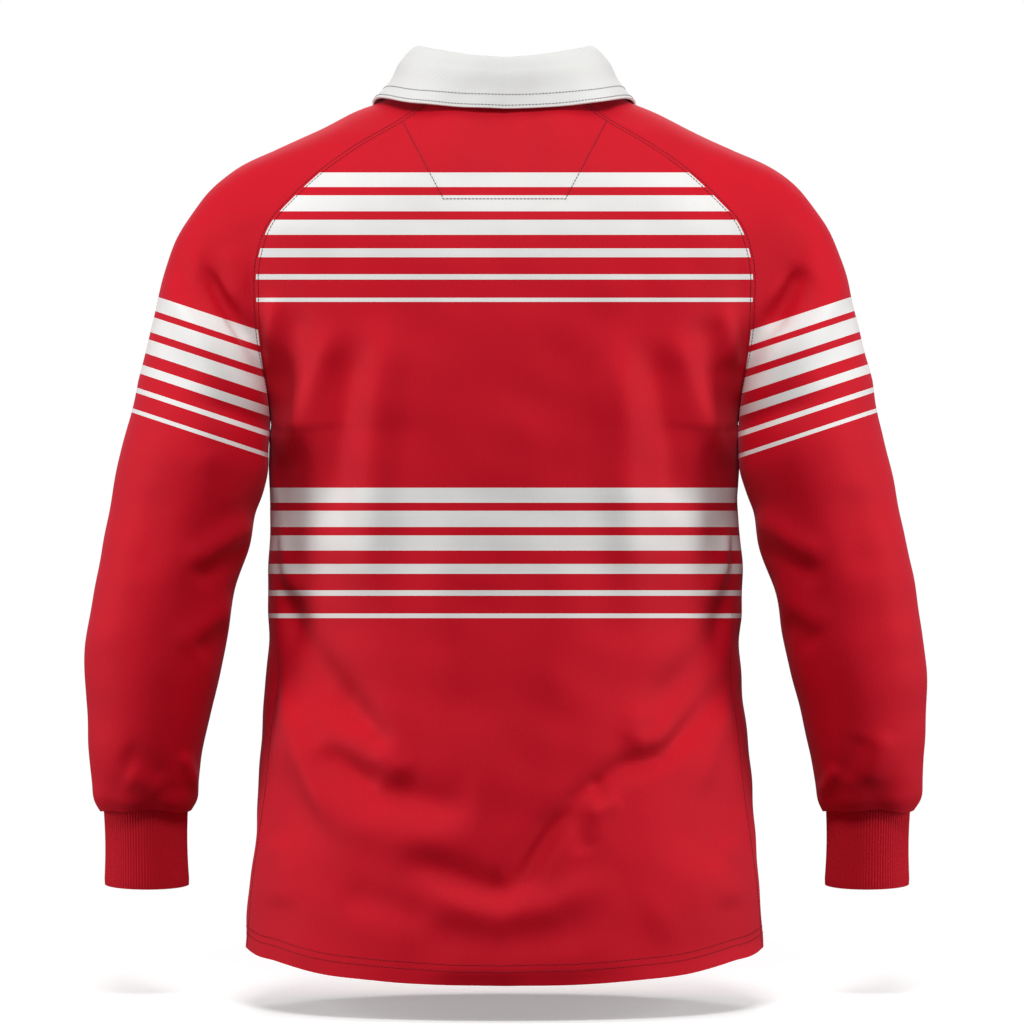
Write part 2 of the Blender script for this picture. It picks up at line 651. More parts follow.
# %% [markdown]
# A raglan sleeve runs right up to the collar. It is cut as one sheet, joined to itself
# along the underarm, and a little too full for its cuff, so its end hangs over the cuff in
# small waves.
# %% Sleeves
FINE_SLEEVE = 104
# In the picture the lower arms hang 2 mm more to the wearer's right and the cuffs 2.5 mm
# higher. Just under the armholes the arms lie against the sides, so they come nearer there.
# They come too near: the sleeves cut up to 0.75 mm into the panels there, a known fault.
ARM_SHIFT = -2.0
ARM_CLOSES = 1.7
CUFF_RISE = 2.5
FINE_ROUND = 124
sleeve_ways = np.r_[raglan_ways, 1 + np.linspace(0, 1, FINE_SLEEVE + 1)[1:]]


def sleeve_grid(side):
    """One sleeve as rows of points: open above the underarm, a tube below."""
    shares = np.linspace(0, 1, FINE_ROUND + 1)
    grid = np.array([sleeve_section(way, shares) for way in sleeve_ways])
    grid[..., 0] *= side
    grid[FINE_RAGLAN:, -1] = grid[FINE_RAGLAN:, 0]
    normals = grid_normals(grid, side, FINE_RAGLAN)
    x, z = np.abs(grid[..., 0]), grid[..., 2]
    lift = 0.7 * slack(x, z, SLEEVE_SLACK_SEED + side)
    for fold_side, part, height, half_width, *line in SLEEVE_FOLDS:
        if fold_side == side:
            soft = stroke_lift(x, z, height, half_width, line)
            lift += soft * ease(0.02, 0.4, part * normals[..., 1])
    ways = sleeve_ways[:, None]
    k = np.minimum(np.arange(FINE_ROUND + 1), np.arange(FINE_ROUND + 1)[::-1])[None, :]
    at_seam = np.where(ways <= 1, ease(0, 6, k), 1.0)
    fade = at_seam * ease(0, 0.08, ways) * ease(0, 0.06, 2 - ways)
    grid = grid + normals * (lift * fade)[..., None]
    round_angle = shares * 2 * math.pi
    wave = -2.6 * np.cos(2 * round_angle) + 0.7 * np.sin(5 * round_angle + 1.3 * side) - 0.5
    near_end = ease(0.86, 1, sleeve_ways - 1)[:, None]
    grid[..., 2] += near_end * (wave[None, :] + CUFF_RISE)
    swell = 2.4 * np.exp(-(((sleeve_ways - 1.972) / 0.03) ** 2))[:, None]
    ripple = 1 + 0.25 * np.sin(7 * round_angle + side)[None, :]
    grid += grid_normals(grid, side, FINE_RAGLAN) * (swell * ripple)[..., None]
    x, z = np.abs(grid[..., 0]), grid[..., 2]
    close = ARM_CLOSES * ease(216, 198, x) * ease(-266, -276, z) * ease(-344, -314, z)
    grid[..., 0] -= side * close
    grid = slot_bend(grid)
    grid[..., 0] += ARM_SHIFT * ease(1.3, 1.95, ways)
    grid[FINE_RAGLAN:, -1] = grid[FINE_RAGLAN:, 0]
    return grid


for name, side in (("left", 1), ("right", -1)):
    grid = sleeve_grid(side)
    grids[f"sleeve_{name}"] = grid
    known = np.full(grid.shape, np.nan)
    for i, way in enumerate(sleeve_ways):
        if way < 0.8:
            known[i, 0] = raglan_normal("back", way) * [side, 1, 1]
            known[i, -1] = raglan_normal("front", way) * [side, 1, 1]
    pieces[f"sleeve_{name}"] = cloth_wall(
        f"sleeve_shell_{name}", grid, side, WALL,
        tube_from=FINE_RAGLAN, known=known, pull=SEAM_PULL,
    )

# %% [markdown]
# The collar is two pieces of woven cotton: a stand that rises from the neck seam and a leaf
# that starts at the top of the stand, rolls over and falls outside. Five lines round the
# neck describe it, from the middle of the back to the opening in front.
# %% Lines of the collar
STATIONS = [0, 0.125, 0.26, 0.447, 0.66, 0.84, 1]
STAND_TOP = [(0, 54.5, 28), (27, 50, 29.5), (51, 34, 33), (68.5, 0, 35),
             (56, -40, 12), (36, -59, -11), (12, -72, -34)]
ROLL = [(0, 58.5, 35.3), (29.5, 53.5, 37.6), (57, 37, 42), (71, 0, 42.6),
        (60.5, -43, 17.5), (41, -64, -6), (14.5, -76, -29)]
BULGE = [(0, 66, 24), (33, 60.5, 26), (66, 43, 30), (85.5, 1, 31.5),
         (73, -49, 6), (52, -76, -17), (21.5, -90, -39)]
KNEE = [(0, 69.5, 8), (35, 64.5, 9), (71, 49, 14), (93.5, 2, 15),
        (83, -58, -13), (61, -86, -38), (32, -101, -60)]
EDGE = [(0, 73, -6.6), (36, 69, -5.2), (76, 56, -1.4), (105.8, 5, 1.0),
        (99, -68, -23.5), (74, -94, -61), (45, -107, -88)]
COLLAR_WALL = 1.8
COLLAR_COLUMNS = 260
STAND_ROWS = 14
LEAF_ROWS = 52
NECK_FRONT_END_X = 9


def collar_line(points):
    """A line round half the neck, called with a share from back to front."""
    points = np.asarray(points, float)
    axes = [smooth(STATIONS, points[:, axis]) for axis in range(3)]
    return lambda share: np.array([float(axis(share)) for axis in axes])


stand_top = collar_line(STAND_TOP)
collar_lines = [collar_line(points) for points in (ROLL, BULGE, KNEE, EDGE)]
front_neck = body_row("front", 0, np.linspace(1, 0, 121))
front_neck = front_neck[front_neck[:, 0] >= NECK_FRONT_END_X]
neck_points = np.vstack([
    body_row("back", 0, STEPS),
    sleeve_section(0, STEPS)[1:],
    front_neck[1:],
])
print("half of the neck seam in mm:",
      round(float(np.linalg.norm(np.diff(neck_points, axis=0), axis=1).sum()), 1))

# %% Collar stand and leaf
def collar_grid(shares_down, point_rows):
    """The whole collar from its left half, mirrored."""
    shares = np.linspace(-1, 1, COLLAR_COLUMNS + 1)
    grid = np.empty((len(shares_down), len(shares), 3))
    for k, share in enumerate(shares):
        line = point_rows(abs(share), shares_down)
        grid[:, k] = line * [1 if share >= 0 else -1, 1, 1]
    return grid


def stand_rows(share, down):
    foot = walk_evenly(neck_points, [share])[0]
    top = stand_top(share)
    foot = foot + unit(top - foot) * 0.9
    return mix(top, foot, down[:, None])


def leaf_rows(share, down):
    start = stand_top(share)
    over = collar_lines[0](share) - start
    over[2] = 0
    start = start - unit(over) * 1.2
    start[2] += mix(1.1, 2.2, float(ease(0.25, 0.55, share)))
    return path([start] + [line(share) for line in collar_lines])(down)


stand = collar_grid(np.linspace(0, 1, STAND_ROWS), stand_rows)
leaf = collar_grid(np.linspace(0, 1, LEAF_ROWS), leaf_rows)
leaf_normals = grid_normals(leaf, 1)
fallen = ease(0.35, 0.9, np.linspace(0, 1, LEAF_ROWS))[:, None]
x, z = leaf[..., 0], leaf[..., 2]
ripple = 0.5 * np.sin(x / 15 + 0.6) + 0.35 * np.sin(x / 7.3 + z / 9) + 0.3 * np.sin(x / 31 - 1)
leaf = leaf + leaf_normals * (ripple * fallen)[..., None]
grids["leaf"] = leaf
pieces["collar_stand"] = cloth_wall("collar_stand_wall", stand, 1, WALL)
pieces["collar_leaf"] = cloth_wall("collar_leaf_wall", leaf, 1, COLLAR_WALL)

# %% [markdown]
# The locker patch strengthens the inside of the back neck. It lies behind the back panel,
# so it takes its shape from the panel: rays from behind find the cloth, and the patch lies
# a hair inside it. The placket closes the slit in front and follows the panel's own points.
# %% Locker patch and placket
back_mesh = pieces["back"].data
back_tree = BVHTree.FromPolygons(
    [v.co for v in back_mesh.vertices], [p.vertices for p in back_mesh.polygons]
)
PATCH_TOP = (84, -17)
PATCH_FOOT = (50, -81)
PATCH_ROWS = 32
PATCH_COLUMNS = 60
PATCH_WALL = 1.0
PATCH_GAP = 0.4
PLACKET_WALL = 1.2
PLACKET_OFFSETS = (("placket_over", 1.5), ("placket_under", -WALL - 0.3))


def on_back(x, z):
    """The place and direction of the back panel's outer skin, in mm."""
    spot, normal, _, _ = back_tree.ray_cast(Vector((x * MM, 0.4, z * MM)), Vector((0, -1, 0)))
    return np.array(spot) / MM, np.array(normal)


patch = np.empty((PATCH_ROWS + 1, PATCH_COLUMNS + 1, 3))
for i in range(PATCH_ROWS + 1):
    half = mix(PATCH_TOP[0], PATCH_FOOT[0], i / PATCH_ROWS)
    z = mix(PATCH_TOP[1], PATCH_FOOT[1], i / PATCH_ROWS)
    for k in range(PATCH_COLUMNS + 1):
        patch[i, k], _ = on_back(mix(-half, half, k / PATCH_COLUMNS), z)
patch -= grid_normals(patch, 1) * (WALL + PATCH_GAP)
pieces["locker_patch"] = cloth_wall("locker_patch_wall", patch, 1, PATCH_WALL)

front_grid = grids["front"]
front_normals = grid_normals(front_grid, -1)
middle = front_grid.shape[1] // 2
slit_rows = int(np.sum(front_grid[:, middle, 2] > SLIT_END_Z)) + 2
strip = slice(middle - 6, middle + 6)
for name, offset in PLACKET_OFFSETS:
    lifted = front_grid[:slit_rows, strip] + front_normals[:slit_rows, strip] * offset
    pieces[name] = cloth_wall(f"{name}_strip", lifted, -1, PLACKET_WALL)
    grids[name] = lifted

# %% [markdown]
# The cuffs are knitted in rib, which grips the wrist. Each is an oval tube, a little slack
# in the middle, whose outer points rise and fall once for every rib. The inside stays plain.
# %% Cuff tubes
CUFF_TOP = np.array([296.25, -42.8, -577])
CUFF_END = np.array([295.2, -54.9, -645.5])
CUFF_HALF_WIDTH = 34.0
CUFF_HALF_DEPTH = 26.0
CUFF_WALL = 1.7
CUFF_RIBS = 92
POINTS_PER_RIB = 6
RIB_HEIGHT = 0.5
CUFF_ROWS = 14
cuff_axis = unit(CUFF_END - CUFF_TOP)
cuff_behind = unit(np.array([0, 1.0, 0]) - cuff_axis * cuff_axis[1])


def cuff_point(along, angle, swell, side):
    """A point of the oval tube, with a slack waist."""
    point = mix(CUFF_TOP, CUFF_END, along)
    waist = 0.5 - 1.3 * math.sin(math.pi * min(1, max(0, along)))
    point = point + cuff_behind * (CUFF_HALF_DEPTH + swell + waist) * math.sin(angle)
    point[0] += (CUFF_HALF_WIDTH + swell + waist) * math.cos(angle)
    return point * [side, 1, 1] + [ARM_SHIFT, 0, CUFF_RISE]


def cuff_grid(side, rib_height, sunk):
    """Rows of the tube, with a rib at every few points."""
    columns = CUFF_RIBS * POINTS_PER_RIB
    grid = np.empty((CUFF_ROWS + 1, columns + 1, 3))
    for i in range(CUFF_ROWS + 1):
        soft_end = float(ease(0, 0.05, 1 - i / CUFF_ROWS))
        for k in range(columns + 1):
            rib = 0.5 + 0.5 * math.cos(k / POINTS_PER_RIB * 2 * math.pi)
            angle = (k % columns) / columns * 2 * math.pi
            swell = rib_height * rib - 0.5 * (1 - soft_end) - sunk
            grid[i, k] = cuff_point(i / CUFF_ROWS, angle, swell, side)
    return grid


for name, side in (("left", 1), ("right", -1)):
    pieces[f"cuff_{name}"] = cloth_wall(
        f"cuff_tube_{name}", cuff_grid(side, RIB_HEIGHT, 0), -side, CUFF_WALL, tube_from=0,
        inside=cuff_grid(side, 0, CUFF_WALL),
    )

# %% [markdown]
# Materials come next, because the node trees need them. Colours are written as the hex
# codes that a picture editor shows and turned to linear light by one function. Cloth has no
# gloss to speak of: its look comes from a high roughness, a little sheen where the surface
# turns away, and a fine knit in the bump.
# %% Colour and node helpers
def colour(code):
    """Turn a hex code into linear red, green, blue and alpha."""
    parts = [int(code[i:i + 2], 16) / 255 for i in (1, 3, 5)]
    return [p / 12.92 if p <= 0.04045 else ((p + 0.055) / 1.055) ** 2.4 for p in parts] + [1.0]


def add_node(tree, kind, settings=None, inputs=None):
    """Add one node, set its options and fill or link its inputs."""
    node = tree.nodes.new(kind)
    for name, value in (settings or {}).items():
        setattr(node, name, value)
    for key, value in (inputs or {}).items():
        if isinstance(value, bpy.types.NodeSocket):
            tree.links.new(value, node.inputs[key])
        else:
            node.inputs[key].default_value = value
    return node


RED = "#CB001E"
WHITE = "#ECEBE9"
CHEST_BANDS = [(-71.3, -59.4), (-91.2, -78.1), (-110.5, -98.2), (-128.9, -121.6),
               (-147.2, -142.8), (-165.5, -162.1)]
WAIST_BANDS = [(-330.2, -317.9), (-350.1, -336.8), (-369.4, -357.0), (-388.5, -380.4),
               (-406.5, -402.0), (-424.8, -421.0)]
SLEEVE_BANDS = [(-254.2, -242.5), (-271.8, -259.4), (-289.5, -277.9), (-306.8, -299.3),
                (-322.7, -318.5), (-339.1, -335.7)]
SLEEVE_BAND_TURN = math.radians(18.3)


def band_colour(tree, level, bands, cloth, stripe):
    """White where the level lies in one of the bands: each band is one comparison, summed."""
    total = None
    for low, high in bands:
        inside = add_node(tree, "ShaderNodeMath", {"operation": "COMPARE"},
                          {0: level, 1: (low + high) / 2 * MM, 2: (high - low) / 2 * MM})
        if total is None:
            total = inside.outputs[0]
        else:
            both = add_node(tree, "ShaderNodeMath", {"operation": "ADD"},
                            {0: total, 1: inside.outputs[0]})
            total = both.outputs[0]
    ramp = add_node(tree, "ShaderNodeValToRGB", None, {"Fac": total})
    ramp.color_ramp.elements[0].color = colour(cloth)
    ramp.color_ramp.elements[1].color = colour(stripe)
    return ramp.outputs["Color"]


# %% [markdown]
# The body cloth is a plain jersey knit with the white bands knitted in, so a band keeps its
# level however the cloth folds: the height of each point picks its colour. On a sleeve the
# bands lie square to the arm, which hangs 18 degrees out from the body. Real wales are about
# 1.2 mm apart; they are drawn at 1.7 mm, since finer ones would only flicker in the picture.
# %% Jersey
# Combed cotton jersey, dyed in the yarn. The eye gets flat strong red with crisp white
# bands, no gloss, a soft pink bloom where the cloth turns away, and a faint upright grain.
WALE = 1.7
COURSE = 1.5


def jersey(name, kind):
    material = bpy.data.materials.new(name)
    material.use_nodes = True
    tree = material.node_tree
    tree.nodes.clear()
    place = add_node(tree, "ShaderNodeTexCoord")
    axes = add_node(tree, "ShaderNodeSeparateXYZ", None, {"Vector": place.outputs["Object"]})
    if kind == "sleeve":
        away = add_node(tree, "ShaderNodeMath", {"operation": "ABSOLUTE"}, {0: axes.outputs["X"]})
        a = add_node(tree, "ShaderNodeMath", {"operation": "MULTIPLY"},
                     {0: away.outputs[0], 1: -math.sin(SLEEVE_BAND_TURN)})
        b = add_node(tree, "ShaderNodeMath", {"operation": "MULTIPLY_ADD"},
                     {0: axes.outputs["Z"], 1: math.cos(SLEEVE_BAND_TURN), 2: a.outputs[0]})
        base = band_colour(tree, b.outputs[0], SLEEVE_BANDS, RED, WHITE)
    else:
        base = band_colour(tree, axes.outputs["Z"], CHEST_BANDS + WAIST_BANDS, RED, WHITE)
    cloud = add_node(tree, "ShaderNodeTexNoise", None,
                     {"Vector": place.outputs["Object"], "Scale": 26.0, "Detail": 4.0})
    worn = add_node(tree, "ShaderNodeMapRange", None,
                    {"Value": cloud.outputs["Fac"], "To Min": 0.93, "To Max": 1.05})
    shade = add_node(tree, "ShaderNodeVectorMath", {"operation": "SCALE"},
                     {0: base, "Scale": worn.outputs["Result"]})
    wales = add_node(tree, "ShaderNodeTexWave", {"bands_direction": "X"},
                     {"Vector": place.outputs["UV"], "Scale": 0.314 / (WALE * MM),
                      "Distortion": 0.6, "Detail": 1.0})
    courses = add_node(tree, "ShaderNodeTexWave", {"bands_direction": "Y"},
                       {"Vector": place.outputs["UV"], "Scale": 0.314 / (COURSE * MM),
                        "Distortion": 0.8, "Detail": 1.0})
    fuzz = add_node(tree, "ShaderNodeTexNoise", None,
                    {"Vector": place.outputs["Object"], "Scale": 420.0, "Detail": 3.0})
    knit = add_node(tree, "ShaderNodeMath", {"operation": "MULTIPLY_ADD"},
                    {0: courses.outputs["Fac"], 1: 0.5, 2: wales.outputs["Fac"]})
    height = add_node(tree, "ShaderNodeMath", {"operation": "MULTIPLY_ADD"},
                      {0: fuzz.outputs["Fac"], 1: 1.2, 2: knit.outputs[0]})
    bump = add_node(tree, "ShaderNodeBump", None,
                    {"Height": height.outputs[0], "Strength": 0.25, "Distance": 0.0002})
    skin = add_node(tree, "ShaderNodeBsdfPrincipled", None, {
        "Base Color": shade.outputs["Vector"], "Normal": bump.outputs["Normal"],
        "Roughness": 0.75, "Specular IOR Level": 0.25, "IOR": 1.5,
        "Sheen Weight": 0.12, "Sheen Roughness": 0.4,
    })
    skin.inputs["Sheen Tint"].default_value = colour("#FF9CBB")
    out = add_node(tree, "ShaderNodeOutputMaterial")
    tree.links.new(skin.outputs["BSDF"], out.inputs["Surface"])
    return material


JERSEY = jersey("cotton_jersey_banded_body", "body")
SLEEVE_JERSEY = jersey("cotton_jersey_banded_sleeve", "sleeve")
print("white bands round the body:", len(CHEST_BANDS + WAIST_BANDS))


# %% [markdown]
# The other finishes are simpler: a dense twill for the collar, a rib knit for the cuffs,
# spun polyester thread and moulded buttons.
# %% Twill, rib, thread and buttons
def plain_cloth(name, code, roughness, weave, strength, sheen, tint="#FFFFFF"):
    material = bpy.data.materials.new(name)
    material.use_nodes = True
    tree = material.node_tree
    tree.nodes.clear()
    place = add_node(tree, "ShaderNodeTexCoord")
    cloud = add_node(tree, "ShaderNodeTexNoise", None,
                     {"Vector": place.outputs["Object"], "Scale": 30.0, "Detail": 4.0})
    light = add_node(tree, "ShaderNodeMapRange", None,
                     {"Value": cloud.outputs["Fac"], "To Min": 0.95, "To Max": 1.03})
    shade = add_node(tree, "ShaderNodeVectorMath", {"operation": "SCALE"},
                     {0: colour(code)[:3], "Scale": light.outputs["Result"]})
    twill = add_node(tree, "ShaderNodeTexWave", {"bands_direction": "DIAGONAL"},
                     {"Vector": place.outputs["Object"], "Scale": 0.314 / (weave * MM),
                      "Distortion": 1.2, "Detail": 2.0})
    fuzz = add_node(tree, "ShaderNodeTexNoise", None,
                    {"Vector": place.outputs["Object"], "Scale": 600.0, "Detail": 2.0})
    height = add_node(tree, "ShaderNodeMath", {"operation": "ADD"},
                      {0: twill.outputs["Fac"], 1: fuzz.outputs["Fac"]})
    bump = add_node(tree, "ShaderNodeBump", None,
                    {"Height": height.outputs[0], "Strength": strength, "Distance": 0.0002})
    skin = add_node(tree, "ShaderNodeBsdfPrincipled", None, {
        "Base Color": shade.outputs["Vector"], "Normal": bump.outputs["Normal"],
        "Roughness": roughness, "Specular IOR Level": 0.3, "IOR": 1.5,
        "Sheen Weight": sheen, "Sheen Roughness": 0.5,
    })
    skin.inputs["Sheen Tint"].default_value = colour(tint)
    out = add_node(tree, "ShaderNodeOutputMaterial")
    tree.links.new(skin.outputs["BSDF"], out.inputs["Surface"])
    return material


# Brushed twill gives the collar a matt, chalky white with faint slanting lines. Rib knit is
# the same dyed cotton as the jersey, deeper in tone because its furrows hold shade.
TWILL = plain_cloth("brushed_cotton_twill", "#DFDFDD", 0.8, 1.4, 0.3, 0.1)
RIB = plain_cloth("rib_knit_red", "#C0031C", 0.88, 1.1, 0.4, 0.12, "#FF9CBB")
# Threads and buttons are one colour all over, so it is set on the shader itself. Polyester
# thread is a little shinier than cotton; a moulded button shows a clear soft highlight.
def plain_finish(name, code, roughness, specular):
    material = bpy.data.materials.new(name)
    material.use_nodes = True
    skin = material.node_tree.nodes["Principled BSDF"]
    skin.inputs["Base Color"].default_value = colour(code)
    skin.inputs["Roughness"].default_value = roughness
    skin.inputs["Specular IOR Level"].default_value = specular
    return material


DARK_THREAD = plain_finish("spun_polyester_dark", "#581C26", 0.6, 0.3)
HEM_THREAD = plain_finish("spun_polyester_wine", "#6E1420", 0.6, 0.3)
LIGHT_THREAD = plain_finish("spun_polyester_grey", "#8C8C8C", 0.6, 0.3)
BUTTON = plain_finish("moulded_rubber_button", "#E2E0DA", 0.45, 0.4)
print("materials:", len(bpy.data.materials))

# %% [markdown]
# Sewing repeats along a path, so Geometry Nodes lays it. A path drawn by the script comes in
# as a chain of edges that carries the way out of the cloth at each point. The tree turns it
# into a curve, spreads points along it at a set spacing, sets one stitch on each point,
# turns it to the path and to the way out, and makes plain mesh of the result.
# %% Geometry Nodes: stitches along a path
def stitch_tree(name):
    """The node tree, and the identifier of each of its named inputs."""
    tree = bpy.data.node_groups.new(name, "GeometryNodeTree")
    sockets = {}
    tree.interface.new_socket("Geometry", in_out="INPUT", socket_type="NodeSocketGeometry")
    for label, kind, value in (
        ("Spacing", "NodeSocketFloat", 0.003), ("Length", "NodeSocketFloat", 0.002),
        ("Width", "NodeSocketFloat", 0.0005), ("Height", "NodeSocketFloat", 0.0003),
        ("Material", "NodeSocketMaterial", None),
    ):
        socket = tree.interface.new_socket(label, in_out="INPUT", socket_type=kind)
        if value is not None:
            socket.default_value = value
        sockets[label] = socket.identifier
    tree.interface.new_socket("Geometry", in_out="OUTPUT", socket_type="NodeSocketGeometry")
    entry = add_node(tree, "NodeGroupInput")
    curve = add_node(tree, "GeometryNodeMeshToCurve", None, {"Mesh": entry.outputs["Geometry"]})
    spread = add_node(tree, "GeometryNodeResampleCurve", {"mode": "LENGTH"},
                      {"Curve": curve.outputs["Curve"], "Length": entry.outputs["Spacing"]})
    tangent = add_node(tree, "GeometryNodeInputTangent")
    out_way = add_node(tree, "GeometryNodeInputNamedAttribute", {"data_type": "FLOAT_VECTOR"},
                       {"Name": "out"})
    turn = add_node(tree, "FunctionNodeAlignRotationToVector", {"axis": "X"},
                    {"Vector": tangent.outputs["Tangent"]})
    roll = add_node(tree, "FunctionNodeAlignRotationToVector", {"axis": "Z", "pivot_axis": "X"},
                    {"Rotation": turn.outputs["Rotation"], "Vector": out_way.outputs["Attribute"]})
    shape = add_node(tree, "GeometryNodeMeshIcoSphere", None, {"Radius": 0.5, "Subdivisions": 1})
    size = add_node(tree, "ShaderNodeCombineXYZ", None, {
        "X": entry.outputs["Length"], "Y": entry.outputs["Width"], "Z": entry.outputs["Height"],
    })
    placed = add_node(tree, "GeometryNodeInstanceOnPoints", None, {
        "Points": spread.outputs["Curve"], "Instance": shape.outputs["Mesh"],
        "Rotation": roll.outputs["Rotation"], "Scale": size.outputs["Vector"],
    })
    real = add_node(tree, "GeometryNodeRealizeInstances", None,
                    {"Geometry": placed.outputs["Instances"]})
    smooth_faces = add_node(tree, "GeometryNodeSetShadeSmooth", None,
                            {"Geometry": real.outputs["Geometry"]})
    finish = add_node(tree, "GeometryNodeSetMaterial", None, {
        "Geometry": smooth_faces.outputs["Geometry"], "Material": entry.outputs["Material"],
    })
    add_node(tree, "NodeGroupOutput", None, {"Geometry": finish.outputs["Geometry"]})
    return tree, sockets


def lay_along(name, chains, tree_and_sockets, **values):
    """Run the tree on a set of guides and keep its result as plain mesh."""
    tree, sockets = tree_and_sockets
    points, edges, outs = [], [], []
    for line, out in chains:
        first = len(points)
        points += (line * MM).tolist()
        outs += out.tolist()
        edges += [(first + n, first + n + 1) for n in range(len(line) - 1)]
    guide_mesh = bpy.data.meshes.new(f"{name}_guide")
    guide_mesh.from_pydata(points, edges, [])
    guide_mesh.attributes.new("out", "FLOAT_VECTOR", "POINT").data.foreach_set(
        "vector", np.asarray(outs, np.float32).ravel())
    guide = bpy.data.objects.new(f"{name}_guide", guide_mesh)
    bpy.context.scene.collection.objects.link(guide)
    step = guide.modifiers.new("lay", "NODES")
    step.node_group = tree
    for label, value in values.items():
        step[sockets[label.capitalize()]] = value
    bpy.context.view_layer.update()
    seen = guide.evaluated_get(bpy.context.evaluated_depsgraph_get())
    mesh = bpy.data.meshes.new_from_object(seen)
    mesh.name = name
    bpy.data.objects.remove(guide)
    made = bpy.data.objects.new(name, mesh)
    bpy.context.scene.collection.objects.link(made)
    print(name, "faces:", len(mesh.polygons))
    return made


STITCH = stitch_tree("stitches_along_a_seam")

# %% [markdown]
# A stitch is a short spindle of thread that sinks at both ends. The visible sewing is the
# twin line along each raglan seam and the hem, the lines round the collar leaf and the
# outline of the locker patch. Each guide is found on the finished cloth, so the thread sits
# on it however it folds.
# %% Guides for the sewing
THREAD_LIFT = 0.2
NEAR = 14
HEM_NEAR = 20


def across_from_edge(grid, normals, distance, last_side, rows):
    """A sewing guide that keeps one distance from a side edge of a panel or sleeve."""
    line, outs = [], []
    for i in rows:
        row = grid[i][::-1] if last_side else grid[i]
        norm = normals[i][::-1] if last_side else normals[i]
        walked = np.r_[0, np.cumsum(np.linalg.norm(np.diff(row[:NEAR], axis=0), axis=1))]
        line.append([np.interp(distance, walked, row[:NEAR, a]) for a in range(3)])
        outs.append([np.interp(distance, walked, norm[:NEAR, a]) for a in range(3)])
    return np.array(line) + unit(np.array(outs)) * THREAD_LIFT, unit(np.array(outs))


def up_from_hem(grid, normals, distance, columns):
    """A sewing guide that keeps one distance from the lowest edge of a grid."""
    line, outs = [], []
    for k in columns:
        col, norm = grid[::-1, k][:HEM_NEAR], normals[::-1, k][:HEM_NEAR]
        walked = np.r_[0, np.cumsum(np.linalg.norm(np.diff(col, axis=0), axis=1))]
        line.append([np.interp(distance, walked, col[:, a]) for a in range(3)])
        outs.append([np.interp(distance, walked, norm[:, a]) for a in range(3)])
    return np.array(line) + unit(np.array(outs)) * THREAD_LIFT, unit(np.array(outs))


normals = {
    "back": grid_normals(grids["back"], 1),
    "front": grid_normals(grids["front"], -1),
    "sleeve_left": grid_normals(grids["sleeve_left"], 1, FINE_RAGLAN),
    "sleeve_right": grid_normals(grids["sleeve_right"], -1, FINE_RAGLAN),
    "leaf": grid_normals(leaf, 1),
}
TWIN_LINE = 2.2
SIDE_LINE = 0.6
SIDE_LINE_FROM = 1.42
HEM_LINES = (12.0, 17.5)
LEAF_LINES = (2.5, 11.5)
seam_rows = range(1, FINE_RAGLAN - 1)
raglan_chains = []
for face in ("back", "front"):
    for side in (True, False):
        raglan_chains.append(
            across_from_edge(grids[face], normals[face], TWIN_LINE, side, seam_rows))
for name in ("sleeve_left", "sleeve_right"):
    for side in (True, False):
        raglan_chains.append(
            across_from_edge(grids[name], normals[name], TWIN_LINE, side, seam_rows))
for side in (True, False):
    low_rows = [i for i, way in enumerate(body_ways[:-1]) if way > SIDE_LINE_FROM]
    raglan_chains.append(
        across_from_edge(grids["back"], normals["back"], SIDE_LINE, side, low_rows))
hem_chains = []
for face in ("back", "front"):
    columns = range(1, grids[face].shape[1] - 1)
    for distance in HEM_LINES:
        hem_chains.append(up_from_hem(grids[face], normals[face], distance, columns))

# %% Sew the shirt
collar_chains = []
for distance in LEAF_LINES:
    line, out = up_from_hem(leaf, normals["leaf"], distance, range(3, COLLAR_COLUMNS - 2))
    collar_chains.append((line, out))
patch_corners = [(-PATCH_TOP[0], PATCH_TOP[1]), (-PATCH_FOOT[0], PATCH_FOOT[1]),
                 (PATCH_FOOT[0], PATCH_FOOT[1]), (PATCH_TOP[0], PATCH_TOP[1])]
patch_line, patch_out = [], []
for (ax, az), (bx, bz) in zip(patch_corners[:-1], patch_corners[1:]):
    for t in np.linspace(0, 1, 30)[:-1]:
        spot, normal = on_back(mix(ax, bx, t), mix(az, bz, t))
        patch_line.append(spot + normal * THREAD_LIFT)
        patch_out.append(normal)
patch_chains = [(np.array(patch_line), np.array(patch_out))]
pieces["raglan_stitches"] = lay_along(
    "raglan_stitches", raglan_chains, STITCH, spacing=0.0030, length=0.0030,
    width=0.0007, height=0.0005, material=DARK_THREAD)
pieces["hem_stitches"] = lay_along(
    "hem_stitches", hem_chains, STITCH, spacing=0.0032, length=0.0030,
    width=0.0006, height=0.0005, material=HEM_THREAD)
pieces["collar_stitches"] = lay_along(
    "collar_stitches", collar_chains, STITCH, spacing=0.0028, length=0.0026,
    width=0.0009, height=0.0006, material=LIGHT_THREAD)
pieces["patch_stitches"] = lay_along(
    "patch_stitches", patch_chains, STITCH, spacing=0.0030, length=0.0030,
    width=0.0008, height=0.0006, material=DARK_THREAD)

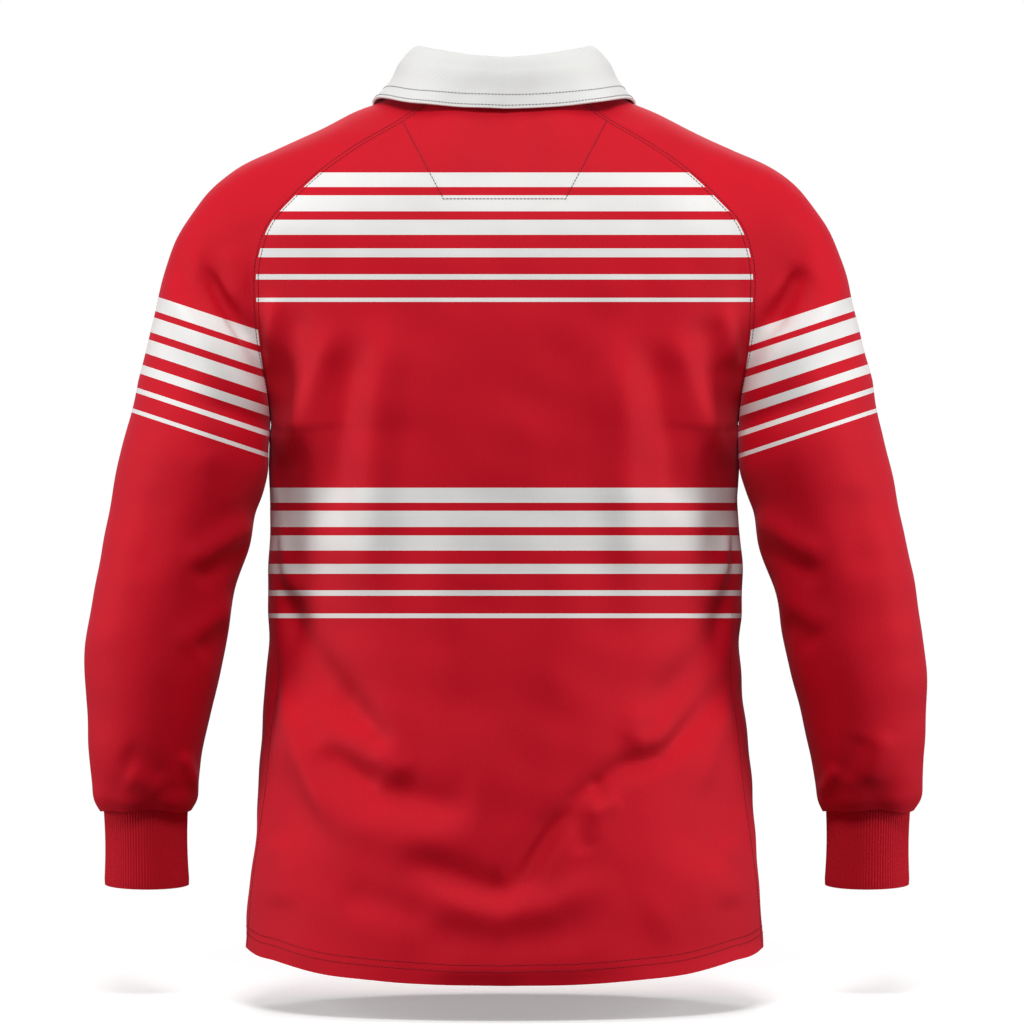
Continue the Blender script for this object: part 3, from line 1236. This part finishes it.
# %% [markdown]
# Each piece now says which solid it stands for, which body carries it and, for cloth, the
# size of the rectangle it was cut from. The share of that rectangle which the cloth fills
# is printed, and it stays below one.
# %% Dress and declare
cloth_of = {
    "back": JERSEY, "front": JERSEY, "sleeve_left": SLEEVE_JERSEY,
    "sleeve_right": SLEEVE_JERSEY, "locker_patch": JERSEY, "collar_stand": TWILL,
    "collar_leaf": TWILL, "placket_over": TWILL, "placket_under": TWILL,
    "cuff_left": RIB, "cuff_right": RIB,
}
for node, material in cloth_of.items():
    piece = pieces[node]
    piece.data.materials.clear()
    piece.data.materials.append(material)
    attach(piece, "root")
    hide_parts(node)
for name, slot in (
    ("raglan_stitches", "jersey"), ("hem_stitches", "jersey"),
    ("collar_stitches", "collar_cloth"), ("patch_stitches", "jersey"),
):
    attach(pieces[name], "root")


SHEETS = [  # node, width and length in metres, how it is held, what carries it
    ("back", 0.50, 0.74, "hung", ["collar_stand"]),
    ("front", 0.50, 0.70, "hung", ["collar_stand"]),
    ("sleeve_left", 0.37, 0.70, "hung", ["back"]),
    ("sleeve_right", 0.37, 0.70, "hung", ["back"]),
    ("cuff_left", 0.20, 0.07, "stretched", ["sleeve_left"]),
    ("cuff_right", 0.20, 0.07, "stretched", ["sleeve_right"]),
    ("collar_stand", 0.49, 0.036, "folded", ["back"]),
    ("collar_leaf", 0.50, 0.07, "folded", ["collar_stand"]),
    ("locker_patch", 0.19, 0.09, "laid", ["back"]),
    ("placket_over", 0.035, 0.17, "laid", ["front"]),
    ("placket_under", 0.035, 0.17, "laid", ["front"]),
]
for node, width, length, held, carried in SHEETS:
    piece = pieces[node]

# %% [markdown]
# The buttons keep their solids, which are already round, and only change material. They
# stand 0.5 to 2 mm clear of the placket with no thread between, which is a known fault.
# %% Buttons
for name, solid in frame["nodes"].items():
    if name.startswith("button"):
        solid.data.materials.clear()
        solid.data.materials.append(BUTTON)
        solid.data.shade_smooth()
        print("dressed", name)

# %% [markdown]
# The picture was taken from far away, straight on, so an orthographic camera fits it. The
# light is a studio's: a large soft source above and behind the camera, two long strips at
# the sides that edge the sleeves, and a faint fill. The floor only takes a soft shadow. It
# slopes gently towards the camera, because a level floor would be seen edge on.
# %% Camera
PICTURE_WIDTH = 0.8397
CAMERA_PLACE = (-0.00615, 3.0, -0.3378)
camera_data = bpy.data.cameras.new("camera")
camera_data.type = "ORTHO"
camera_data.ortho_scale = PICTURE_WIDTH
camera_data.clip_end = 20
camera = bpy.data.objects.new("camera", camera_data)
bpy.context.scene.collection.objects.link(camera)
camera.location = CAMERA_PLACE
camera.rotation_euler = (math.pi / 2, 0, math.pi)
bpy.context.scene.camera = camera


# %% Light
def soft_light(name, place, target, width, height, power):
    data = bpy.data.lights.new(name, "AREA")
    data.shape = "RECTANGLE"
    data.size = width
    data.size_y = height
    data.energy = power
    lamp = bpy.data.objects.new(name, data)
    bpy.context.scene.collection.objects.link(lamp)
    lamp.location = place
    aim = Vector(target) - Vector(place)
    lamp.rotation_euler = aim.to_track_quat("-Z", "Y").to_euler()
    return lamp


LIGHTS = [  # name, place, target, width, height, watts
    ("key_above", (0.0, 3.0, 2.6), (0, 0, -0.35), 1.6, 0.9, 98),
    ("overhead", (0.0, 0.3, 2.2), (0, 0, -0.35), 2.8, 1.4, 24),
    ("low_fill", (0.0, 3.0, -0.8), (0, 0, -0.6), 1.8, 0.9, 11),
    ("side_strip_left", (1.7, 0.25, -0.4), (0.1, 0, -0.4), 0.35, 1.5, 19),
    ("side_strip_right", (-1.7, 0.25, -0.4), (-0.1, 0, -0.4), 0.35, 1.5, 19),
    ("far_side", (0, -2.4, 1.2), (0, 0, -0.35), 1.6, 1.0, 26),
]
lamps = {row[0]: soft_light(*row) for row in LIGHTS}
lamps["low_fill"].visible_glossy = False

world = bpy.data.worlds.new("studio")
bpy.context.scene.world = world
world.use_nodes = True
tree = world.node_tree
tree.nodes.clear()
seen = add_node(tree, "ShaderNodeLightPath")
room = add_node(tree, "ShaderNodeBackground", None, {"Color": colour("#F4F2F2"), "Strength": 0.13})
backdrop = add_node(tree, "ShaderNodeBackground", None, {"Color": (1, 1, 1, 1), "Strength": 1.0})
both = add_node(tree, "ShaderNodeMixShader", None, {
    0: seen.outputs["Is Camera Ray"], 1: room.outputs[0], 2: backdrop.outputs[0],
})
add_node(tree, "ShaderNodeOutputWorld", None, {"Surface": both.outputs[0]})
bpy.context.scene.view_settings.view_transform = "Standard"

# %% Floor
FLOOR_FOLD_Y = -0.6
FLOOR_NEAR_Y = 2.5
FLOOR_HALF_WIDTH = 3
FLOOR_SLOPE = math.tan(math.radians(6))
UNDER_HEM = (-0.13, -0.7315)  # y and z of the floor, 5 mm under the front hem
floor_z = UNDER_HEM[1] + (UNDER_HEM[0] - FLOOR_FOLD_Y) * FLOOR_SLOPE
floor_low = floor_z - (FLOOR_NEAR_Y - FLOOR_FOLD_Y) * FLOOR_SLOPE
corners = [(side * FLOOR_HALF_WIDTH, y, z)
           for y, z in ((-3, floor_z), (FLOOR_FOLD_Y, floor_z), (FLOOR_NEAR_Y, floor_low))
           for side in (-1, 1)]
floor_mesh = bpy.data.meshes.new("floor")
floor_mesh.from_pydata(corners, [], [(0, 1, 3, 2), (2, 3, 5, 4)])
floor = bpy.data.objects.new("floor", floor_mesh)
bpy.context.scene.collection.objects.link(floor)
paper = bpy.data.materials.new("matt_white_paper")
paper.use_nodes = True
surface = paper.node_tree.nodes["Principled BSDF"]
surface.inputs["Base Color"].default_value = colour("#F4F4F4")
surface.inputs["Roughness"].default_value = 0.95
surface.inputs["Emission Color"].default_value = (1, 1, 1, 1)
surface.inputs["Emission Strength"].default_value = 0.32
floor_mesh.materials.append(paper)
floor.visible_diffuse = False
floor.visible_glossy = False

# %% [markdown]
# Last, the size of the dressed shirt is written beside the size of the solids, since cloth
# may stand only a little proud of them.
# %% Compare sizes and finish
bpy.context.view_layer.update()
